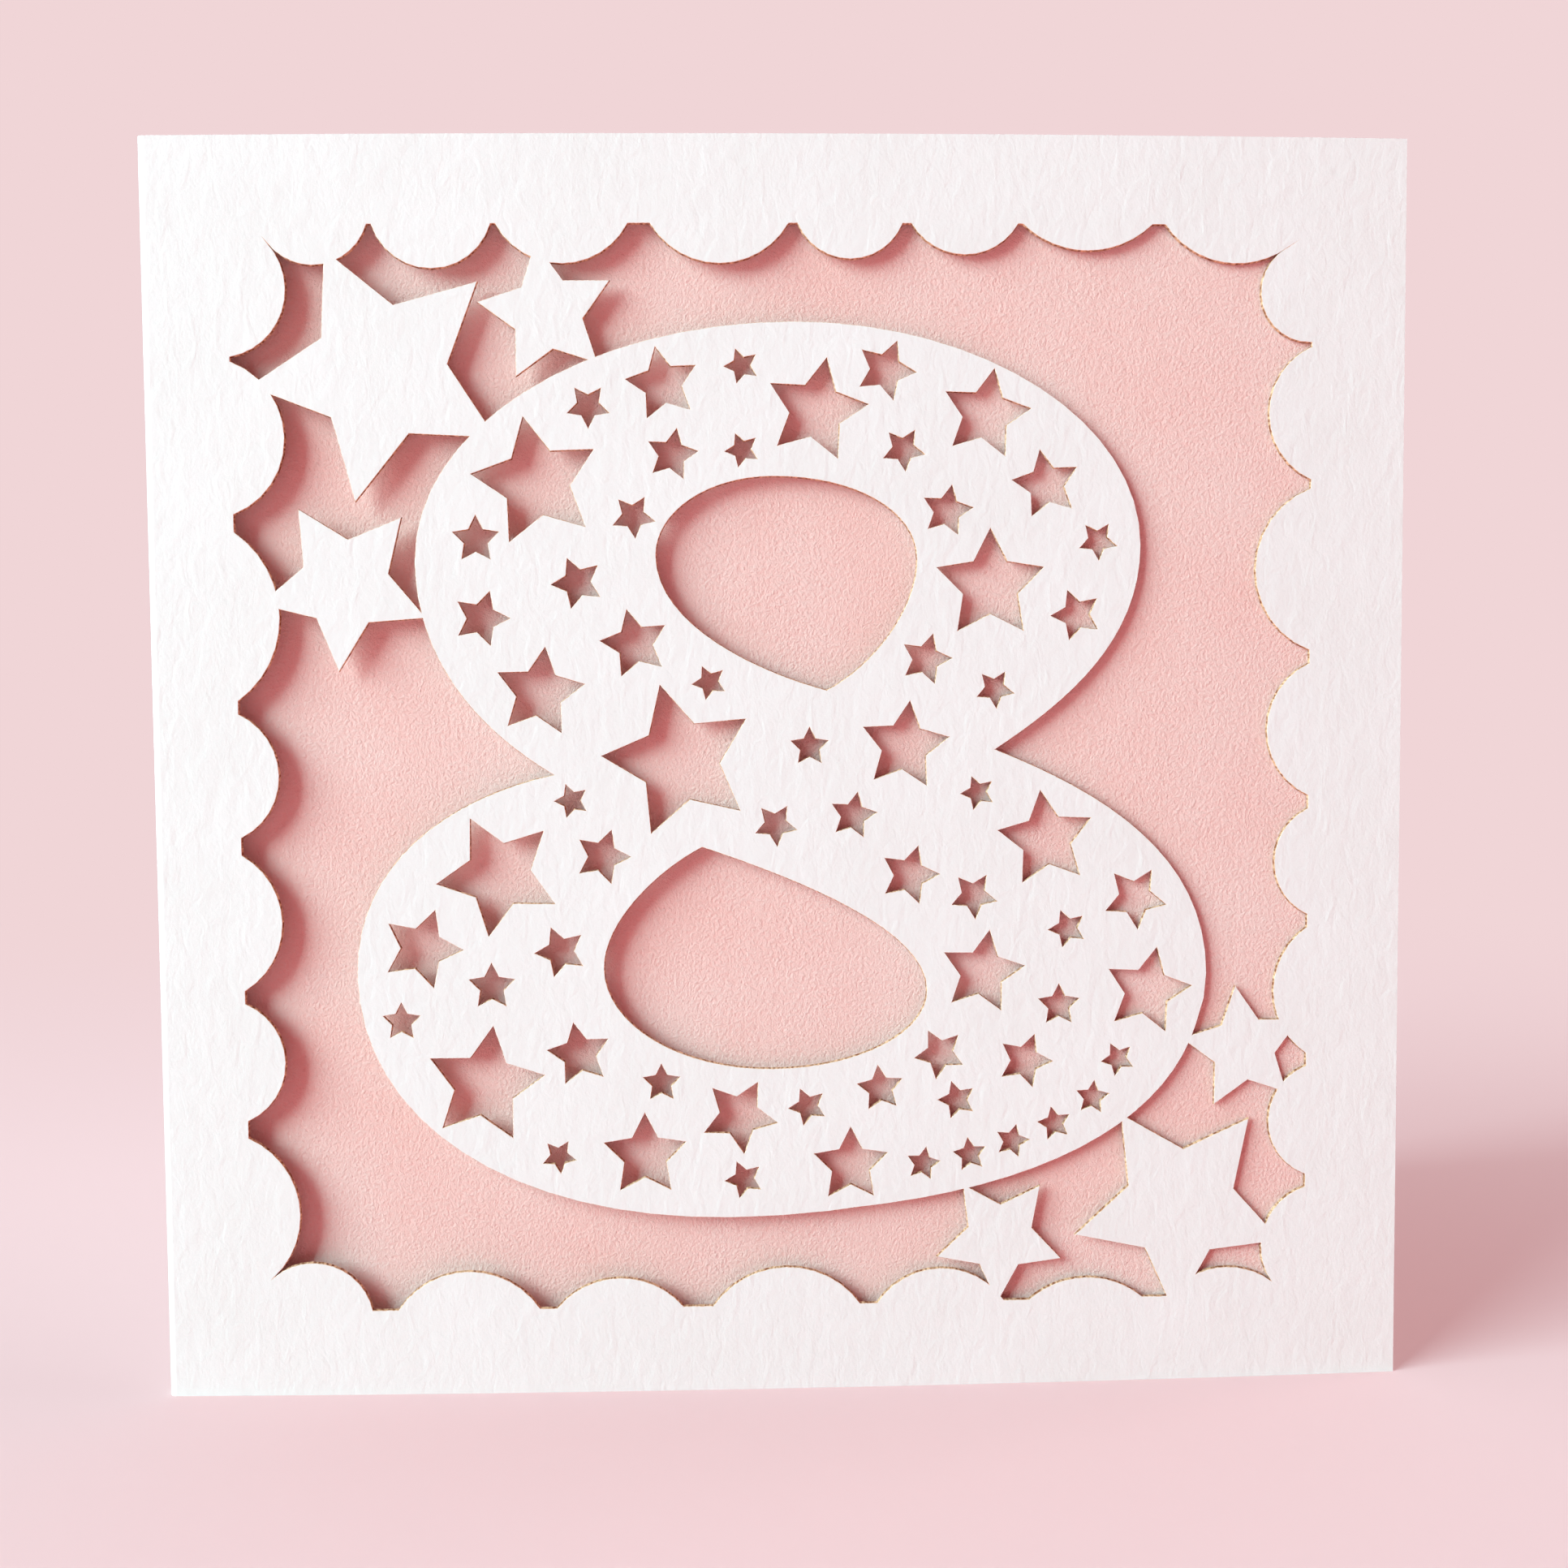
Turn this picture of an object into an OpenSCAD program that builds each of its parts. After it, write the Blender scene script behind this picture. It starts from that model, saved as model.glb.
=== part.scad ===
// Laser-cut birthday card, standing open on its lower edges.
// One sheet of white stock is folded at the left. Its front leaf is cut to a scalloped window that
// holds a numeral 8 pierced with stars. A blush sheet is glued behind the window along the free edge.
// X runs along the front leaf, Y points back from its face and Z is up.
// The origin is the middle of the front leaf's lower edge.

/* [Card] */
// Width of each leaf
card_w = 145; // [125:1:200]
// Height of each leaf
card_h = 145; // [125:1:200]
// Thickness of the white stock
stock_t = 0.45; // [0.3:0.05:0.7]
// Inside radius of the fold
fold_r = 0.4; // [0.2:0.1:1]
// Angle between the two leaves
open_angle = 30; // [24:1:60]

/* [Window] */
// Plain margin between the window's notches and the fold
fold_margin = 10; // [7:0.5:16]
// Plain margin between the window's notches and the free edge of the leaf
edge_margin = 11; // [7:0.5:16]
// Plain margin between the window's notches and the top and bottom edges of the leaf
rail_margin = 10; // [7:0.5:16]

/* [Stars] */
// Inner radius of a star as a share of its tip radius
star_waist = 0.51; // [0.42:0.01:0.58]

/* [Backing sheet] */
// Thickness of the blush sheet
sheet_t = 0.3; // [0.15:0.05:0.5]
// Distance of the sheet's glued edge from the free edge of the leaf
sheet_side_gap = 2.5; // [1:0.5:3.5]
// Distance of the sheet from the top and bottom edges of the leaf
sheet_rail_gap = 2.5; // [1:0.5:5]
// Width of the glued strip
glue_w = 8; // [4:0.5:12]
// Thickness of the glue film
glue_t = 0.05; // [0.02:0.01:0.1]
// Distance that the sheet stands off the leaf at its free edge, near the fold
stand_off = 2; // [0.5:0.1:2.5]
// Clearance between that free edge and the back leaf
sheet_clear = 1; // [0.5:0.1:1.5]

/* [Hidden] */

card_white = "#fbf8f4";
blush = "#f6d2cb";

// Segments in the fold's bend, in one scallop and in one curve of the numeral
fold_steps = 8;
scallop_steps = 12;
curve_steps = 16;
cut_over = 1;

// The fold, seen from above: its centre, and where the back leaf ends
fold_outer_r = fold_r + stock_t;
fold_c = [-card_w / 2 + fold_outer_r, stock_t / 2 + fold_r];
leaf_run = card_w - fold_outer_r;
fold_turn = 180 - open_angle;
back_dir = [cos(open_angle), sin(open_angle)];

// The artwork is drawn around the middle of the leaf and stretched to fill the window.
// Lines that its notches lie on: top, right, bottom, left
notch_lines = [62.5, 61.5, -62.5, -62.5];
art_mid = [notch_lines[1] + notch_lines[3], notch_lines[0] + notch_lines[2]] / 2;
window_mid = [(fold_margin - edge_margin) / 2, 0];
art_x = (card_w - fold_margin - edge_margin) / (notch_lines[1] - notch_lines[3]);
art_z = (card_h - 2 * rail_margin) / (notch_lines[0] - notch_lines[2]);
hole_scale = min(art_x, art_z);
bridge_scale = max(art_x, art_z);

// Tips of the window's four corners: top left, top right, bottom right, bottom left
corner_tips = [[-58, 60.5], [58.5, 60], [57.5, -61], [-60, -58.5]];
// Depth of the scallop that follows each corner tip, clockwise
corner_depths = [3.5, 4.5, 2.5, 4.5];
// Notches along each edge, clockwise: place, flat width, depth of the scallop that follows
top_notches = [
    [-46.5, 0.5, 5], [-32.5, 0.5, 4.5], [-16, 2.5, 4.5], [1.5, 1, 4],
    [14.5, 1, 3.5], [27.5, 0.5, 3], [43.5, 1.5, 3]
];
right_notches = [
    [49, 0.5, 5], [33, 1, 6.5], [13, 1.5, 5], [-4, 1.5, 4],
    [-18, 1.5, 4], [-34.5, 1.5, 4.5], [-49, 1.5, 3]
];
bottom_notches = [
    [43.5, 3, 2.5], [27, 3, 4], [9.5, 2, 4.5], [-10.5, 3.5, 3.5],
    [-28, 2, 4.5], [-47, 3, 3.5]
];
left_notches = [
    [-41, 2, 4.5], [-25.5, 1.5, 4.5], [-8, 2, 4.5], [8, 1.5, 5],
    [29, 2, 6], [47.5, 0.5, 4]
];

// Numeral: each curve node is its place, the handle that arrives and the handle that leaves
eight_outer = [
    [[1.5, 51.5], [-24, 0], [22, 0]],
    [[41.5, 26], [0, 14], [0, -11]],
    [[24.5, 2.5], [8.5, 5.5], [12.5, -5]],
    [[49.5, -24], [0, 14], [0, -16]],
    [[-6.5, -52], [31, 0], [-26, 0]],
    [[-49.5, -23], [0, -17], [0, 13]],
    [[-26.5, 0], [-12, -2.5], [-9, 5.5]],
    [[-42, 24.5], [0, -11], [0, 15]]
];
upper_counter = [
    [[-14.5, 25], [0, -8], [0, 5]],
    [[-1, 34], [-7.5, 0], [9.5, 0]],
    [[15.5, 24.5], [0, 5.5], [0, -6]],
    [[5, 9.5], [5, 2.5], [-7.5, 2]]
];
lower_counter = [
    [[-9.5, -8.5], [-5, -2.5], [11.5, -4]],
    [[16.5, -25.5], [0, 7], [0, -5]],
    [[-1.5, -34.5], [10, 0], [-11, 0]],
    [[-21, -22.5], [0, -6.5], [0, 5.5]]
];

// Star-shaped holes in the numeral: place, tip radius, clockwise turn
star_holes = [
    [-22, 42, 2.5, 180], [-13.5, 44.5, 4.25, -11], [-4.5, 46.5, 2, -20], [4, 41.5, 6, 12],
    [12, 46, 3.5, 22], [23.5, 41, 5.25, 11], [-12.5, 36.5, 3, 11], [-4.5, 37, 2, -23],
    [14, 37, 2.5, 175], [-28, 33.5, 7.5, -11], [-17, 29.5, 2.5, 175], [19, 30, 3, 11],
    [30.5, 33, 4, -11], [-35, 27, 2.75, 0], [-23.5, 22, 3, -22], [36.5, 26.5, 2.25, 177],
    [24, 21.5, 6.5, 0], [-34.5, 18, 3.25, 18], [-17, 15, 4, -13], [-28, 9.5, 5.25, 8],
    [-8.5, 10.5, 2, -24], [16.5, 13, 3, 16], [34, 18, 3, -20], [24.5, 9.5, 2.25, 175],
    [-12, 1.5, 9, -14], [3, 3, 2.25, 0], [14, 3, 5.25, 7], [-24.5, -3, 2, -19],
    [-21, -9.5, 3.25, 19], [-1, -6, 2.5, 176], [8, -5, 2.75, 11], [22.5, -2.5, 2, -21],
    [30.5, -8, 5.75, -7], [-33, -11.5, 7.25, -26], [14.5, -12, 3.5, 17], [22, -14.5, 2.75, 176],
    [41, -15, 3.75, 31], [33, -18.5, 2.25, -21], [-42, -20, 4.75, 20], [-26, -20.5, 3, -21],
    [23, -23.5, 5, 10], [42.5, -26, 5.25, 12], [-34, -24.5, 2.75, 0], [32, -27.5, 2.5, 0],
    [-44.5, -28.5, 2.25, 0], [-24, -32.5, 3.75, -10], [18, -33, 3, -27], [28, -34, 3.25, 20],
    [39, -34, 2, -26], [-35, -36, 7, 9], [-14.5, -36, 2.25, 0], [-5.5, -40, 4.5, 29],
    [2.5, -39, 2.25, -23], [11, -37, 2.75, -6], [20, -38.5, 2.25, -17], [-26.5, -44.5, 2, 175],
    [-16.5, -44.5, 5, 0], [-5, -47.5, 2.25, -22], [7.5, -46, 4.5, 0], [16, -46, 2, 10],
    [21.5, -45, 2, -8], [26.5, -43.5, 2, 14], [31.5, -41.5, 2, -12], [36, -38.5, 2, 6]
];
// Solid stars that join the numeral to the frame: place, tip radius, clockwise turn
bridge_stars = [
    [-45.5, 46, 15, -24], [-26.5, 52.5, 8, -9], [-50, 22, 10, -31],
    [54, -33, 7.5, -8], [46.5, -51.5, 13, 39], [25, -55, 7.75, 38]
];

// The backing sheet, seen from above: glued edge, end of the glue and free edge
sheet_front_y = stock_t / 2 + glue_t;
sheet_back_y = sheet_front_y + stand_off + sheet_t;
sheet_glued_x = card_w / 2 - sheet_side_gap;
sheet_bend_x = sheet_glued_x - glue_w;
sheet_free_x = fold_c[0]
    + (sheet_back_y - fold_c[1] + (sheet_clear - fold_r) / cos(open_angle)) / tan(open_angle);

function place(p) = window_mid + [(p[0] - art_mid[0]) * art_x, (p[1] - art_mid[1]) * art_z];

function arc_at(centre, r, angle) = centre + r * [cos(angle), sin(angle)];

// Points of an arc from p towards q that bows by depth to the right of the way from p to q
function scallop(p, q, depth) =
    let (
        chord = norm(q - p),
        along = (q - p) / chord,
        inward = [along[1], -along[0]],
        r = (chord * chord / 4 + depth * depth) / (2 * depth),
        centre = (p + q) / 2 + (depth - r) * inward,
        half = asin(chord / (2 * r)),
        spread = depth > r ? 180 - half : half
    )
    [for (i = [0 : scallop_steps])
        let (a = -spread + 2 * spread * i / scallop_steps)
        centre + r * (sin(a) * along + cos(a) * inward)];

// Points of one window edge, from a corner tip along its notches to the next tip
function scalloped_edge(tip, depth, notches, next_tip) =
    let (
        starts = concat([tip], [for (n = notches) n[1]]),
        ends = concat([for (n = notches) n[0]], [next_tip]),
        depths = concat([depth], [for (n = notches) n[2]])
    )
    [for (i = [0 : len(starts) - 1]) each scallop(place(starts[i]), place(ends[i]), depths[i])];

// Both ends of each notch's flat, on a level edge or on an upright one
function level_notches(list, z, way) =
    [for (n = list) [[n[0] - way * n[1] / 2, z], [n[0] + way * n[1] / 2, z], n[2]]];
function upright_notches(list, x, way) =
    [for (n = list) [[x, n[0] - way * n[1] / 2], [x, n[0] + way * n[1] / 2], n[2]]];

function bezier(a, b, c, d, t) =
    pow(1 - t, 3) * a + 3 * pow(1 - t, 2) * t * b + 3 * (1 - t) * t * t * c + pow(t, 3) * d;

// Closed outline through curve nodes
function outline(nodes) =
    [for (i = [0 : len(nodes) - 1])
        let (p = nodes[i], q = nodes[(i + 1) % len(nodes)])
        for (s = [0 : curve_steps - 1])
            place(bezier(p[0], p[0] + p[2], q[0] + q[1], q[0], s / curve_steps))];

module star(r) {
    polygon([for (i = [0 : 9]) (i % 2 == 0 ? r : r * star_waist) * [sin(36 * i), cos(36 * i)]]);
}

module stars(list, size) {
    for (s = list) {
        translate(place(s)) rotate(-s[3]) star(s[2] * size);
    }
}

module window_outline() {
    polygon(concat(
        scalloped_edge(corner_tips[0], corner_depths[0],
            level_notches(top_notches, notch_lines[0], 1), corner_tips[1]),
        scalloped_edge(corner_tips[1], corner_depths[1],
            upright_notches(right_notches, notch_lines[1], -1), corner_tips[2]),
        scalloped_edge(corner_tips[2], corner_depths[2],
            level_notches(bottom_notches, notch_lines[2], -1), corner_tips[3]),
        scalloped_edge(corner_tips[3], corner_depths[3],
            upright_notches(left_notches, notch_lines[3], 1), corner_tips[0])
    ));
}

// All that the laser takes out of the front leaf
module cut_outs() {
    difference() {
        window_outline();
        polygon(outline(eight_outer));
        stars(bridge_stars, bridge_scale);
    }
    polygon(outline(upper_counter));
    polygon(outline(lower_counter));
    stars(star_holes, hole_scale);
}

// The folded stock, seen from above
module fold_profile() {
    front_normal = -90;
    outer_bend = [for (i = [0 : fold_steps])
        arc_at(fold_c, fold_outer_r, front_normal - fold_turn * i / fold_steps)];
    inner_bend = [for (i = [fold_steps : -1 : 0])
        arc_at(fold_c, fold_r, front_normal - fold_turn * i / fold_steps)];
    polygon(concat(
        [[card_w / 2, -stock_t / 2]],
        outer_bend,
        [outer_bend[fold_steps] + leaf_run * back_dir, inner_bend[0] + leaf_run * back_dir],
        inner_bend,
        [[card_w / 2, stock_t / 2]]
    ));
}

module folded_card() {
    color(card_white)
        difference() {
            linear_extrude(card_h) fold_profile();
            translate([0, stock_t / 2 + cut_over / 2, card_h / 2])
                rotate([90, 0, 0])
                linear_extrude(stock_t + cut_over) cut_outs();
        }
}

module backing_sheet() {
    color(blush)
        translate([0, 0, sheet_rail_gap])
        linear_extrude(card_h - 2 * sheet_rail_gap)
        polygon([
            [sheet_glued_x, sheet_front_y],
            [sheet_bend_x, sheet_front_y],
            [sheet_free_x, sheet_front_y + stand_off],
            [sheet_free_x, sheet_back_y],
            [sheet_bend_x, sheet_front_y + sheet_t],
            [sheet_glued_x, sheet_front_y + sheet_t]
        ]);
}

folded_card();
backing_sheet();
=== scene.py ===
import math

import bmesh
import bpy
from mathutils import Matrix, Vector, noise
from mathutils.bvhtree import BVHTree
from mathutils.geometry import interpolate_bezier
from mathutils.kdtree import KDTree


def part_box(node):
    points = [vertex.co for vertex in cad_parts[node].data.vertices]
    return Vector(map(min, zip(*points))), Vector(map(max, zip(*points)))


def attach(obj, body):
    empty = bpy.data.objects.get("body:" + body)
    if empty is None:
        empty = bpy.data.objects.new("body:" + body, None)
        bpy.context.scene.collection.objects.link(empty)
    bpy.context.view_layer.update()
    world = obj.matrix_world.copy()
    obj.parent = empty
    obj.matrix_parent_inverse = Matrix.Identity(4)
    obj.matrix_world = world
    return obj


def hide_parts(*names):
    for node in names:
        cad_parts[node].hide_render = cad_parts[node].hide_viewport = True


mm = 0.001
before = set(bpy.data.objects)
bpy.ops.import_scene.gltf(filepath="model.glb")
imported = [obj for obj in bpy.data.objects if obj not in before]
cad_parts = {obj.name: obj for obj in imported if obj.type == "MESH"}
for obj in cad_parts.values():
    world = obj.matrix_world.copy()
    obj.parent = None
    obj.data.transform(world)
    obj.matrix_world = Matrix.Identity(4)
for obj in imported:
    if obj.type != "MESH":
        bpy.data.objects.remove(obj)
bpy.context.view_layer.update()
scene = bpy.context.scene
scene.view_settings.view_transform = "Standard"
print("frame loaded:", ", ".join(sorted(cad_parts)))


# materials

mixA, mixB, mixed = 6, 7, 2  # a Mix node's two colour inputs, and its colour output
paperIor = 1.5


def linear(hexColour):
    channels = [int(hexColour[i:i + 2], 16) / 255 for i in (1, 3, 5)]
    return [c / 12.92 if c <= 0.04045 else ((c + 0.055) / 1.055) ** 2.4 for c in channels] + [1]


def addNode(tree, kind, sockets, **settings):
    node = tree.nodes.new(kind)
    for name, value in settings.items():
        setattr(node, name, value)
    for name, value in sockets.items():
        if isinstance(value, bpy.types.NodeSocket):
            tree.links.new(value, node.inputs[name])
        else:
            node.inputs[name].default_value = value
    return node


def newMaterial(name):
    material = bpy.data.materials.new(name)
    material.use_nodes = True
    material.node_tree.nodes.clear()
    return material, material.node_tree


def perMetre(sizeMm):
    return 1 / (sizeMm * mm)  # noise scale for features of that size


# uncoated felt-marked card: the paper machine's felt leaves soft upright dimples, with fine fibre on them
cardFinish = {
    "white": "#f7f5f2", "shade": "#f0ede9", "cloudSize": 14,
    "feltSize": 1.5, "feltStretch": 0.5, "feltWarp": 0.6, "fibreSize": 0.4, "fibreShare": 0.28,
    "relief": 0.085, "roughness": 0.82, "gloss": 0.3,
}


def feltMarkedCard(look):
    material, tree = newMaterial("felt_marked_card")
    coords = addNode(tree, "ShaderNodeTexCoord", {})
    upright = addNode(tree, "ShaderNodeMapping", {
        "Vector": coords.outputs["Object"], "Scale": (1, 1, look["feltStretch"])})
    cloud = addNode(tree, "ShaderNodeTexNoise", {
        "Vector": coords.outputs["Object"], "Scale": perMetre(look["cloudSize"]), "Detail": 2})
    felt = addNode(tree, "ShaderNodeTexNoise", {
        "Vector": upright.outputs["Vector"], "Scale": perMetre(look["feltSize"]),
        "Detail": 3, "Distortion": look["feltWarp"]})
    fibre = addNode(tree, "ShaderNodeTexNoise", {
        "Vector": coords.outputs["Object"], "Scale": perMetre(look["fibreSize"]), "Detail": 2})
    height = addNode(tree, "ShaderNodeMath", {
        0: fibre.outputs["Fac"], 1: look["fibreShare"], 2: felt.outputs["Fac"]},
        operation="MULTIPLY_ADD")
    bump = addNode(tree, "ShaderNodeBump", {
        "Height": height.outputs["Value"], "Distance": look["relief"] * mm, "Strength": 1})
    tone = addNode(tree, "ShaderNodeMix", {
        "Factor": cloud.outputs["Fac"], mixA: linear(look["shade"]), mixB: linear(look["white"])},
        data_type="RGBA")
    shader = addNode(tree, "ShaderNodeBsdfPrincipled", {
        "Base Color": tone.outputs[mixed], "Roughness": look["roughness"], "IOR": paperIor,
        "Specular IOR Level": look["gloss"], "Normal": bump.outputs["Normal"]})
    addNode(tree, "ShaderNodeOutputMaterial", {"Surface": shader.outputs["BSDF"]})
    return material


# laser-cut edge of the card: scorched tan, with a dark mark for each pulse of the beam
# the pulses are drawn coarser than a laser's, so that they show
cutFinish = {
    "tan": "#eabd98", "scorch": "#8a4e32", "pulse": 0.3, "pulseDepth": 0.2,
    "scorchBelow": 0.35, "tanAbove": 0.65, "roughness": 0.85, "gloss": 0.2,
}
# the front corner of that cut, which the beam only browns a little
rimFinish = dict(cutFinish, tan="#fde8da", scorch="#dcaa88", pulse=0.34)


def laserCutEdge(name, look):
    material, tree = newMaterial(name)
    coords = addNode(tree, "ShaderNodeTexCoord", {})
    # the marks run through the stock
    through = addNode(tree, "ShaderNodeMapping", {
        "Vector": coords.outputs["Object"], "Scale": (1, look["pulseDepth"], 1)})
    pulses = addNode(tree, "ShaderNodeTexNoise", {
        "Vector": through.outputs["Vector"], "Scale": perMetre(look["pulse"]), "Detail": 1})
    spread = addNode(tree, "ShaderNodeMapRange", {
        "Value": pulses.outputs["Fac"], "From Min": look["scorchBelow"], "From Max": look["tanAbove"]})
    tone = addNode(tree, "ShaderNodeMix", {
        "Factor": spread.outputs["Result"], mixA: linear(look["scorch"]), mixB: linear(look["tan"])},
        data_type="RGBA")
    shader = addNode(tree, "ShaderNodeBsdfPrincipled", {
        "Base Color": tone.outputs[mixed], "Roughness": look["roughness"], "IOR": paperIor,
        "Specular IOR Level": look["gloss"]})
    addNode(tree, "ShaderNodeOutputMaterial", {"Surface": shader.outputs["BSDF"]})
    return material


# dyed uncoated paper: almost without gloss, with an even fine grain, and now and then a dark fibre
blushFinish = {
    "light": "#ffddd5", "deep": "#ffccc3", "deepBelow": 0.7, "lightAbove": 1.3,
    "grainSize": 0.38, "cloudSize": 20, "fleck": "#9a6258", "fleckSpacing": 30, "fleckSize": 0.16,
    "relief": 0.26, "roughness": 0.88, "gloss": 0.05,
}


def dyedBlushPaper(look):
    material, tree = newMaterial("dyed_blush_paper")
    coords = addNode(tree, "ShaderNodeTexCoord", {})
    grain = addNode(tree, "ShaderNodeTexNoise", {
        "Vector": coords.outputs["Object"], "Scale": perMetre(look["grainSize"]),
        "Detail": 4, "Roughness": 0.7})
    cloud = addNode(tree, "ShaderNodeTexNoise", {
        "Vector": coords.outputs["Object"], "Scale": perMetre(look["cloudSize"]), "Detail": 2})
    mottle = addNode(tree, "ShaderNodeMath", {
        0: grain.outputs["Fac"], 1: cloud.outputs["Fac"]}, operation="ADD")
    spread = addNode(tree, "ShaderNodeMapRange", {
        "Value": mottle.outputs["Value"], "From Min": look["deepBelow"], "From Max": look["lightAbove"]})
    tone = addNode(tree, "ShaderNodeMix", {
        "Factor": spread.outputs["Result"], mixA: linear(look["deep"]), mixB: linear(look["light"])},
        data_type="RGBA")
    cells = addNode(tree, "ShaderNodeTexVoronoi", {
        "Vector": coords.outputs["Object"], "Scale": perMetre(look["fleckSpacing"])})
    isFleck = addNode(tree, "ShaderNodeMath", {
        0: cells.outputs["Distance"], 1: look["fleckSize"] / look["fleckSpacing"]}, operation="LESS_THAN")
    flecked = addNode(tree, "ShaderNodeMix", {
        "Factor": isFleck.outputs["Value"], mixA: tone.outputs[mixed], mixB: linear(look["fleck"])},
        data_type="RGBA")
    bump = addNode(tree, "ShaderNodeBump", {
        "Height": grain.outputs["Fac"], "Distance": look["relief"] * mm, "Strength": 1})
    shader = addNode(tree, "ShaderNodeBsdfPrincipled", {
        "Base Color": flecked.outputs[mixed], "Roughness": look["roughness"], "IOR": paperIor,
        "Specular IOR Level": look["gloss"], "Normal": bump.outputs["Normal"]})
    addNode(tree, "ShaderNodeOutputMaterial", {"Surface": shader.outputs["BSDF"]})
    return material


cardMaterial = feltMarkedCard(cardFinish)
cutMaterial = laserCutEdge("laser_cut_edge", cutFinish)
rimMaterial = laserCutEdge("laser_browned_rim", rimFinish)
blushMaterial = dyedBlushPaper(blushFinish)
print("materials:", len(bpy.data.materials))


# pieces

samePoint = 0.002 * mm  # points nearer than this are merged
bisectReach = 0.0005 * mm  # a strip's cut takes points this near as its own
crispAngle = math.radians(20)


def copyNode(name):
    bm = bmesh.new()
    bm.from_mesh(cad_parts[name].data)
    bmesh.ops.remove_doubles(bm, verts=bm.verts, dist=samePoint)
    return bm


def cutStrips(bm, axis, low, high, spacing):
    count = round((high - low) / spacing)
    for i in range(1, count):
        bmesh.ops.bisect_plane(
            bm, geom=bm.verts[:] + bm.edges[:] + bm.faces[:], dist=bisectReach,
            plane_co=axis * (low + (high - low) * i / count), plane_no=axis)


def finishPiece(bm, name, node, materials):
    for face in bm.faces:
        face.smooth = True
    for edge in bm.edges:  # corners stay crisp, and so does the line between two finishes
        finishes = {f.material_index for f in edge.link_faces}
        edge.smooth = len(finishes) == 1 and edge.calc_face_angle(0) < crispAngle
    mesh = bpy.data.meshes.new(name)
    bm.to_mesh(mesh)
    bm.free()
    for material in materials:
        mesh.materials.append(material)
    piece = bpy.data.objects.new(name, mesh)
    scene.collection.objects.link(piece)
    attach(piece, "root")
    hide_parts(node)
    print(name, "faces:", len(mesh.polygons))


# the folded stock, whose front leaf bows a little towards the viewer
stock = {
    "frontBow": 1.4 * mm, "backBow": 0.9 * mm, "stripWidth": 4 * mm,
    "rimWidth": 0.05 * mm, "rimDrop": 0.04 * mm, "cutTaper": 0.08 * mm,
    "narrow": 0.2 * mm, "narrowShare": 0.3,  # where two cuts all but meet, each takes this share of the gap
    "wallTilt": 0.5,  # a cut's wall faces the front or back by less than this
    "plainBorder": 4 * mm,  # no cuts this near to the leaf's own edges
    "leafReach": 0.3 * mm,  # the front leaf's solid lies this near to y = 0
    "leafSplit": 0.6 * mm,  # and what is farther back belongs to the back leaf
}
cutIndex, rimIndex = 1, 2  # places in the stock's list of materials
cardLow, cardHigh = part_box("folded_card")
halfWidth = cardHigh.x
faceY = cardLow.y
touching = 0.001 * mm  # a point nearer than this to a face counts as on it

# the numeral's lower right edge, drawn out by under 1 mm so that two of the stars run into it
# each curve is its start, two handles and its end, in mm
lip = {
    "outer": [(49.2, 48.5), (49.2, 32.5), (31.8, 20.8), (-6.5, 20.8)],
    "inner": [(48.9, 48.5), (48.9, 32.5), (24.5, 21.1), (-6.5, 21.1)],
    "points": 24,
}


def makeLip():
    bm = bmesh.new()
    outer, inner = [
        interpolate_bezier(*[Vector((x * mm, faceY, z * mm)) for x, z in lip[side]], lip["points"])
        for side in ("outer", "inner")]
    face = bm.faces.new([bm.verts.new(p) for p in outer + inner[::-1]])
    made = bmesh.ops.extrude_face_region(bm, geom=[face])["geom"]
    moved = [g for g in made if isinstance(g, bmesh.types.BMVert)]
    bmesh.ops.translate(bm, verts=moved, vec=(0, -2 * faceY, 0))
    bmesh.ops.recalc_face_normals(bm, faces=bm.faces)
    return bm


def inOneOrder(bm):
    # the union gives its faces in a new order each run
    verts = sorted(bm.verts, key=lambda v: v.co[:])
    place = {v: i for i, v in enumerate(verts)}
    corners = [[place[v] for v in f.verts] for f in bm.faces]
    rings = sorted(c[c.index(min(c)):] + c[:c.index(min(c))] for c in corners)
    ordered = bmesh.new()
    points = [ordered.verts.new(v.co) for v in verts]
    for ring in rings:
        ordered.faces.new([points[i] for i in ring])
    ordered.normal_update()
    bm.free()
    return ordered


def united(*parts):
    helpers = []
    for bm in parts:
        mesh = bpy.data.meshes.new("helper")
        bm.to_mesh(mesh)
        bm.free()
        helpers.append(bpy.data.objects.new("helper", mesh))
        scene.collection.objects.link(helpers[-1])
    union = helpers[0].modifiers.new("union", "BOOLEAN")
    union.operation = "UNION"
    union.solver = "EXACT"
    union.object = helpers[1]
    finished = helpers[0].evaluated_get(bpy.context.evaluated_depsgraph_get())
    bm = bmesh.new()
    bm.from_mesh(finished.to_mesh())
    finished.to_mesh_clear()
    for helper in helpers:
        bpy.data.meshes.remove(helper.data)  # takes its object along
    bmesh.ops.remove_doubles(bm, verts=bm.verts, dist=samePoint)
    return inOneOrder(bm)


def refill(bm, planeY):
    # one clean set of triangles in place of the union's crossing ones
    flat = {f for f in bm.faces if all(abs(v.co.y - planeY) < touching for v in f.verts)}
    border = [e for e in bm.edges if sum(f in flat for f in e.link_faces) == 1]
    bmesh.ops.delete(bm, geom=list(flat), context="FACES")
    filled = bmesh.ops.triangle_fill(bm, edges=border, use_beauty=True, normal=(0, planeY, 0))["geom"]
    return [g for g in filled if isinstance(g, bmesh.types.BMFace)]


def isCutArea(face):
    centre = face.calc_center_median()
    border = stock["plainBorder"]
    return (abs(centre.x) < halfWidth - border and border < centre.z < cardHigh.z - border
            and abs(centre.y) < stock["leafReach"])


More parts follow.
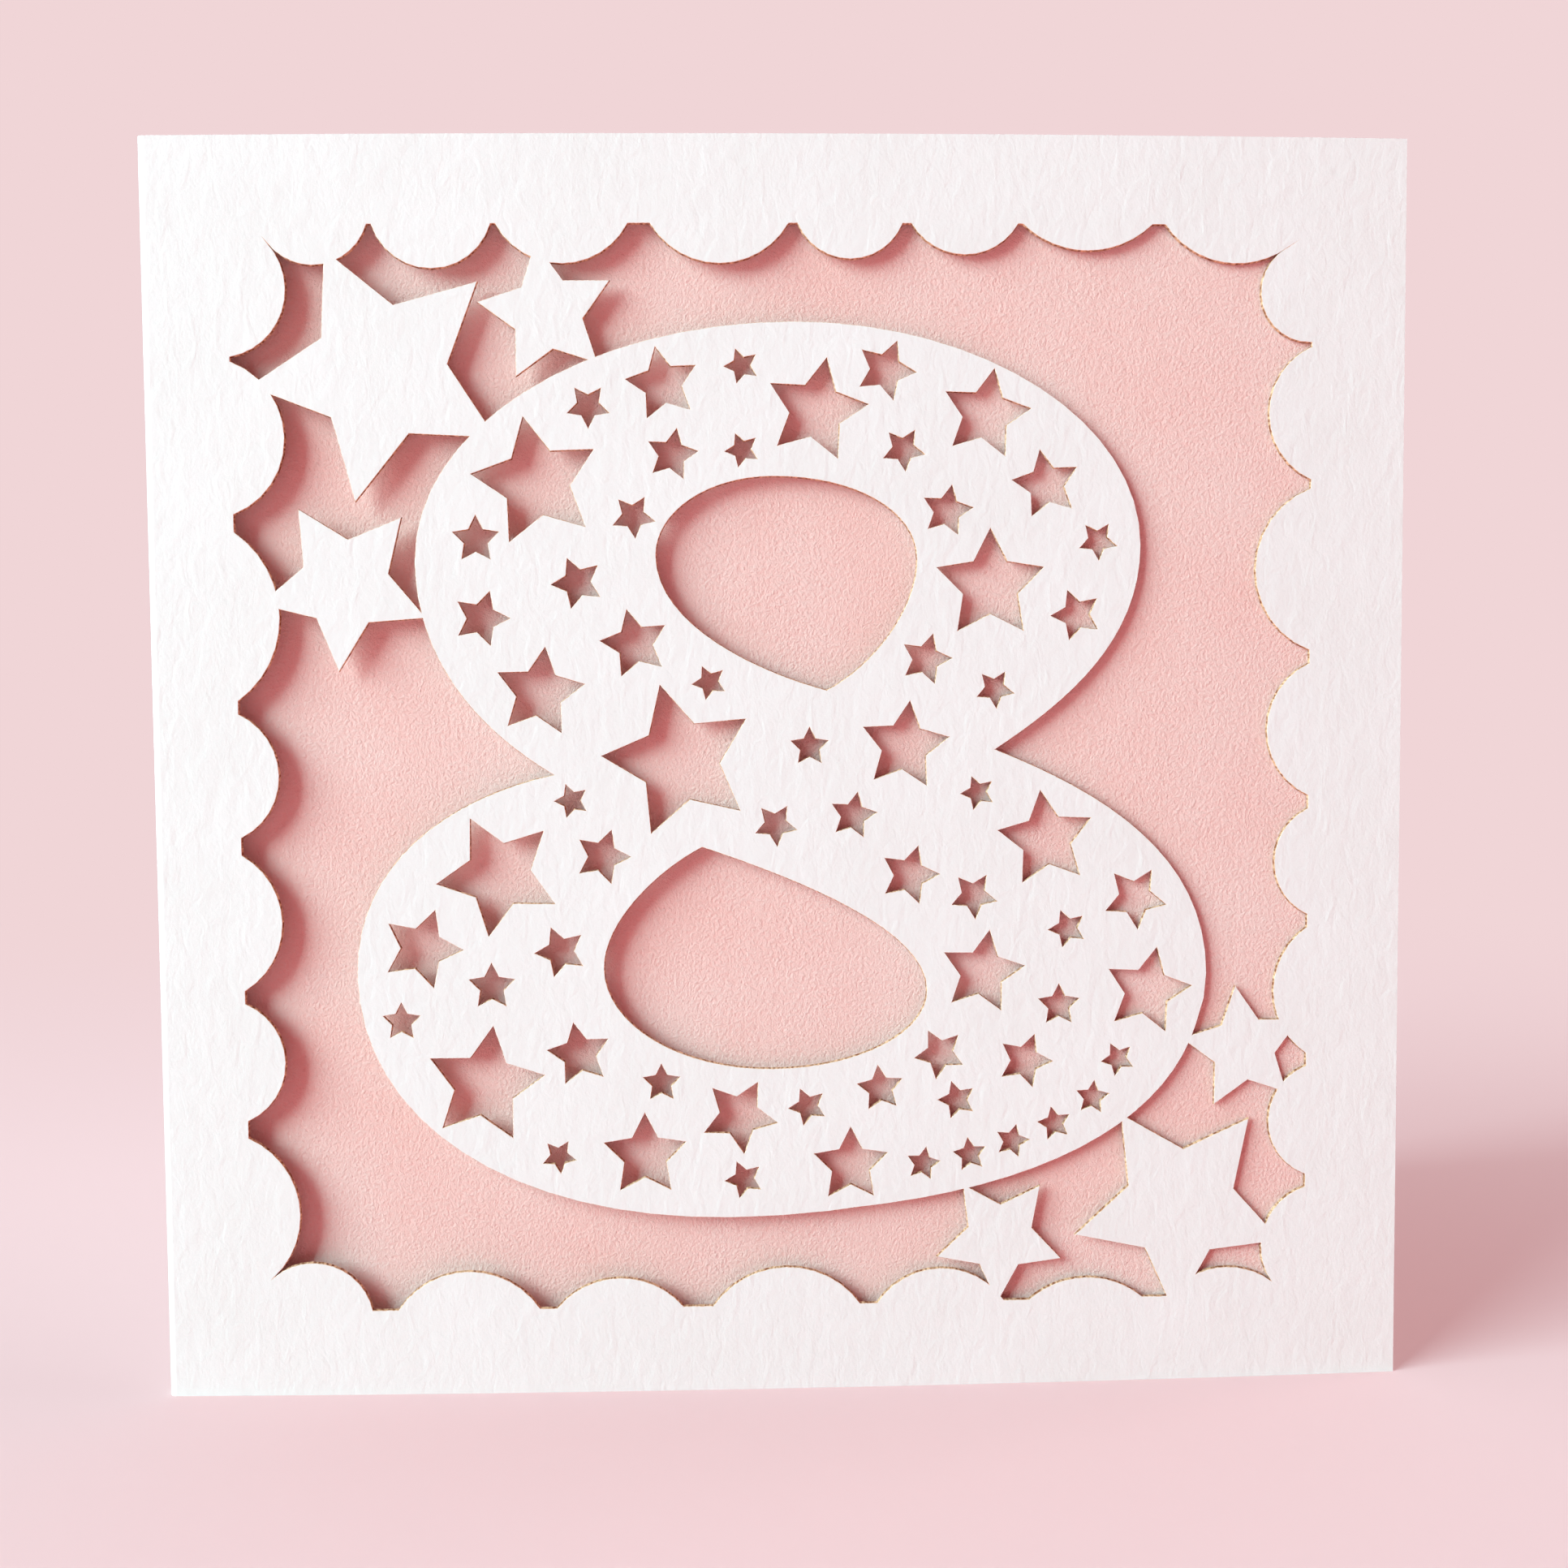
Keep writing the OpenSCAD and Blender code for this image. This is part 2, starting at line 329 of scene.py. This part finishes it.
def shapeCuts(bm, walls, rims):
    wallSet = set(walls)
    cutVerts = list(dict.fromkeys(v for f in walls for v in f.verts))
    rimVerts = {v for f in rims for v in f.verts}.difference(cutVerts)
    cuts = BVHTree.FromBMesh(bm)
    corners = KDTree(len(cutVerts))
    for i, vert in enumerate(cutVerts):
        corners.insert(vert.co, i)
    corners.balance()
    for vert in cutVerts:
        if vert.co.y < 0:
            joined = {e.other_vert(vert) for e in vert.link_edges}
            gaps = [gap for _, i, gap in corners.find_range(vert.co, stock["narrow"])
                    if cutVerts[i] != vert and cutVerts[i] not in joined]
            if gaps:
                for inner in joined & rimVerts:
                    step = inner.co - vert.co
                    inner.co = vert.co + step * min(1, stock["narrowShare"] * min(gaps) / step.length)
            vert.co.y += stock["rimDrop"]  # the beam rounds the front corner
        else:
            loops = [c for c in vert.link_loops if c.face in wallSet]
            into = sum((c.face.normal * c.calc_angle() for c in loops), Vector()).normalized()
            start = Vector((vert.co.x, 0, vert.co.z)) + into * touching
            gap = cuts.ray_cast(start, into, stock["cutTaper"] / stock["narrowShare"])[3]
            taper = stock["cutTaper"] if gap is None else stock["narrowShare"] * gap
            vert.co += into * taper  # and its cut narrows towards the back


def bowAt(x, depth):
    return depth * (1 - min(1, abs(x) / halfWidth) ** 2)


def bowLeaves(bm):
    foldPoint = Vector((cardLow.x, 0, 0))
    backEdge = max(bm.verts, key=lambda v: v.co.y).co.copy()
    alongBack = Vector((backEdge.x - foldPoint.x, backEdge.y, 0))
    backRun = alongBack.length
    alongBack.normalize()
    outward = Vector((-alongBack.y, alongBack.x, 0))
    for vert in bm.verts:
        if vert.co.y < stock["leafSplit"]:
            vert.co.y -= bowAt(vert.co.x, stock["frontBow"])
        else:
            share = (vert.co - foldPoint).dot(alongBack) / backRun
            vert.co += outward * stock["backBow"] * 4 * share * (1 - share)


def makeStock():
    bm = united(copyNode("folded_card"), makeLip())
    front = refill(bm, faceY)
    refill(bm, -faceY)
    ring = bmesh.ops.inset_region(
        bm, faces=front, thickness=stock["rimWidth"], use_boundary=True, use_even_offset=True)["faces"]
    walls = [f for f in bm.faces if abs(f.normal.y) < stock["wallTilt"] and isCutArea(f)]
    rims = [f for f in ring if isCutArea(f)]
    for face in walls:
        face.material_index = cutIndex
    for face in rims:
        face.material_index = rimIndex
    shapeCuts(bm, walls, rims)
    cutStrips(bm, Vector((1, 0, 0)), cardLow.x, cardHigh.x, stock["stripWidth"])
    bowLeaves(bm)
    finishPiece(bm, "card_stock", "folded_card", [cardMaterial, cutMaterial, rimMaterial])


# the blush sheet follows that bow, and cockles slightly away from its glued strip
blushSheet = {
    "bow": 1.1 * mm, "cockle": 0.12 * mm, "cockleSize": 38 * mm, "cell": 4 * mm,
    "looseFrom": 50 * mm,  # it lies flat from here to its glued edge
}


def makeBlushSheet():
    bm = copyNode("backing_sheet")
    low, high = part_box("backing_sheet")
    cutStrips(bm, Vector((1, 0, 0)), low.x, high.x, blushSheet["cell"])
    cutStrips(bm, Vector((0, 0, 1)), low.z, high.z, blushSheet["cell"])
    for vert in bm.verts:
        loose = max(0, (blushSheet["looseFrom"] - vert.co.x) / (high.x - low.x))
        place = Vector((vert.co.x, 0, vert.co.z)) / blushSheet["cockleSize"]
        vert.co.y += blushSheet["cockle"] * loose * noise.noise(place) - bowAt(vert.co.x, blushSheet["bow"])
    finishPiece(bm, "blush_sheet", "backing_sheet", [blushMaterial])


makeStock()
makeBlushSheet()


# studio: a pale floor that fades into the background, soft lamps, and a camera at the photo's angle
studio = {
    "floor": "#f1c6c8", "background": "#f0d5d7",
    "floorSize": 6, "floorSides": 64, "fadeStart": 0.1, "fadeEnd": 0.5,
    "bounce": "#f2a2a8", "bounceStart": 0, "bounceEnd": -0.002,
    "frontFill": "#ff6e76", "frontStrength": 0.33, "rearFill": "#f2fdff", "rearStrength": 0.88,
    "frontEnd": -0.35, "rearStart": -0.05,  # the Y of the directions between which front turns to rear
    # the large lamp at the left
    "window": {"place": (-2.33, -1.43, 1.23), "size": 1.95, "power": 152, "colour": "#c2fdff"},
    # a small one at the right that lights the inside
    "softbox": {"place": (1.5, 0.27, 0.5), "size": 0.8, "power": 6, "colour": "#fffcfa"},
}


def seenDirectly(tree):
    # 1 for what the camera sees, straight or in a gloss, and 0 for the light on the card
    rays = addNode(tree, "ShaderNodeLightPath", {})
    mirrored = addNode(tree, "ShaderNodeMath", {
        0: rays.outputs["Is Camera Ray"], 1: rays.outputs["Is Glossy Ray"]}, operation="MAXIMUM")
    seen = addNode(tree, "ShaderNodeMath", {
        0: mirrored.outputs["Value"], 1: rays.outputs["Is Transmission Ray"]}, operation="MAXIMUM")
    return seen.outputs["Value"]


def makeFloor(look):
    bm = bmesh.new()
    bmesh.ops.create_circle(bm, cap_ends=True, segments=look["floorSides"], radius=look["floorSize"])
    mesh = bpy.data.meshes.new("studio_floor")
    bm.to_mesh(mesh)
    bm.free()
    material, tree = newMaterial("matte_studio_floor")
    coords = addNode(tree, "ShaderNodeTexCoord", {})
    reach = addNode(tree, "ShaderNodeVectorMath", {0: coords.outputs["Object"]}, operation="LENGTH")
    fade = addNode(tree, "ShaderNodeMapRange", {
        "Value": reach.outputs["Value"], "From Min": look["fadeStart"], "From Max": look["fadeEnd"]},
        interpolation_type="SMOOTHSTEP")
    seen = seenDirectly(tree)
    fadeSeen = addNode(tree, "ShaderNodeMath", {0: fade.outputs["Result"], 1: seen}, operation="MULTIPLY")
    # in front of the card the floor sends back a warmer light than it shows, which reddens the shadows
    place = addNode(tree, "ShaderNodeSeparateXYZ", {"Vector": coords.outputs["Object"]})
    ahead = addNode(tree, "ShaderNodeMapRange", {
        "Value": place.outputs["Y"], "From Min": look["bounceStart"], "From Max": look["bounceEnd"]})
    unseen = addNode(tree, "ShaderNodeMath", {0: 1, 1: seen}, operation="SUBTRACT")
    warm = addNode(tree, "ShaderNodeMath", {
        0: ahead.outputs["Result"], 1: unseen.outputs["Value"]}, operation="MULTIPLY")
    tone = addNode(tree, "ShaderNodeMix", {
        "Factor": warm.outputs["Value"], mixA: linear(look["floor"]), mixB: linear(look["bounce"])},
        data_type="RGBA")
    matte = addNode(tree, "ShaderNodeBsdfDiffuse", {"Color": tone.outputs[mixed]})
    glow = addNode(tree, "ShaderNodeEmission", {"Color": linear(look["background"]), "Strength": 1})
    shown = addNode(tree, "ShaderNodeMixShader", {
        "Fac": fadeSeen.outputs["Value"], 1: matte.outputs["BSDF"], 2: glow.outputs["Emission"]})
    addNode(tree, "ShaderNodeOutputMaterial", {"Surface": shown.outputs["Shader"]})
    mesh.materials.append(material)
    floor = bpy.data.objects.new("studio_floor", mesh)
    scene.collection.objects.link(floor)


def makeWorld(look):
    world = bpy.data.worlds.new("soft_studio")
    world.use_nodes = True
    tree = world.node_tree
    tree.nodes.clear()
    coords = addNode(tree, "ShaderNodeTexCoord", {})
    direction = addNode(tree, "ShaderNodeSeparateXYZ", {"Vector": coords.outputs["Generated"]})
    rear = addNode(tree, "ShaderNodeMapRange", {
        "Value": direction.outputs["Y"], "From Min": look["frontEnd"], "From Max": look["rearStart"]},
        interpolation_type="SMOOTHSTEP")
    front = addNode(tree, "ShaderNodeBackground", {
        "Color": linear(look["frontFill"]), "Strength": look["frontStrength"]})
    back = addNode(tree, "ShaderNodeBackground", {
        "Color": linear(look["rearFill"]), "Strength": look["rearStrength"]})
    light = addNode(tree, "ShaderNodeMixShader", {
        "Fac": rear.outputs["Result"], 1: front.outputs["Background"], 2: back.outputs["Background"]})
    backdrop = addNode(tree, "ShaderNodeBackground", {"Color": linear(look["background"]), "Strength": 1})
    shown = addNode(tree, "ShaderNodeMixShader", {
        "Fac": seenDirectly(tree), 1: light.outputs["Shader"], 2: backdrop.outputs["Background"]})
    addNode(tree, "ShaderNodeOutputWorld", {"Surface": shown.outputs["Shader"]})
    scene.world = world


def makeLamp(name, look):
    lamp = bpy.data.lights.new(name, "AREA")
    lamp.energy = look["power"]
    lamp.size = look["size"]
    lamp.color = linear(look["colour"])[:3]
    lampObject = bpy.data.objects.new(name, lamp)
    place = Vector(look["place"])
    aim = Vector((0, 0, cardHigh.z / 2)) - place
    lampObject.matrix_world = Matrix.Translation(place) @ aim.to_track_quat("-Z", "Y").to_matrix().to_4x4()
    scene.collection.objects.link(lampObject)


# place in mm, angles in degrees, and the lens as its focal length in the photo's pixels
photoCamera = {
    "place": (-6.8, -207.4, 82.7), "yaw": 1.89, "pitch": -3.19, "roll": 0.43,
    "focalPixels": 2200, "photoPixels": 1932, "sensor": 36, "nearest": 0.01,
}


def makeCamera(look):
    camera = bpy.data.cameras.new("photo_camera")
    camera.sensor_width = look["sensor"]
    camera.sensor_fit = "HORIZONTAL"
    camera.lens = look["sensor"] * look["focalPixels"] / look["photoPixels"]
    camera.clip_start = look["nearest"]
    cameraObject = bpy.data.objects.new("photo_camera", camera)
    turn = (Matrix.Rotation(math.radians(-look["yaw"]), 4, "Z")
            @ Matrix.Rotation(math.radians(90 + look["pitch"]), 4, "X")
            @ Matrix.Rotation(math.radians(-look["roll"]), 4, "Z"))
    cameraObject.matrix_world = Matrix.Translation(Vector(look["place"]) * mm) @ turn
    scene.collection.objects.link(cameraObject)
    scene.camera = cameraObject


makeFloor(studio)
makeWorld(studio)
makeLamp("window_lamp", studio["window"])
makeLamp("softbox_lamp", studio["softbox"])
makeCamera(photoCamera)
print("studio ready")
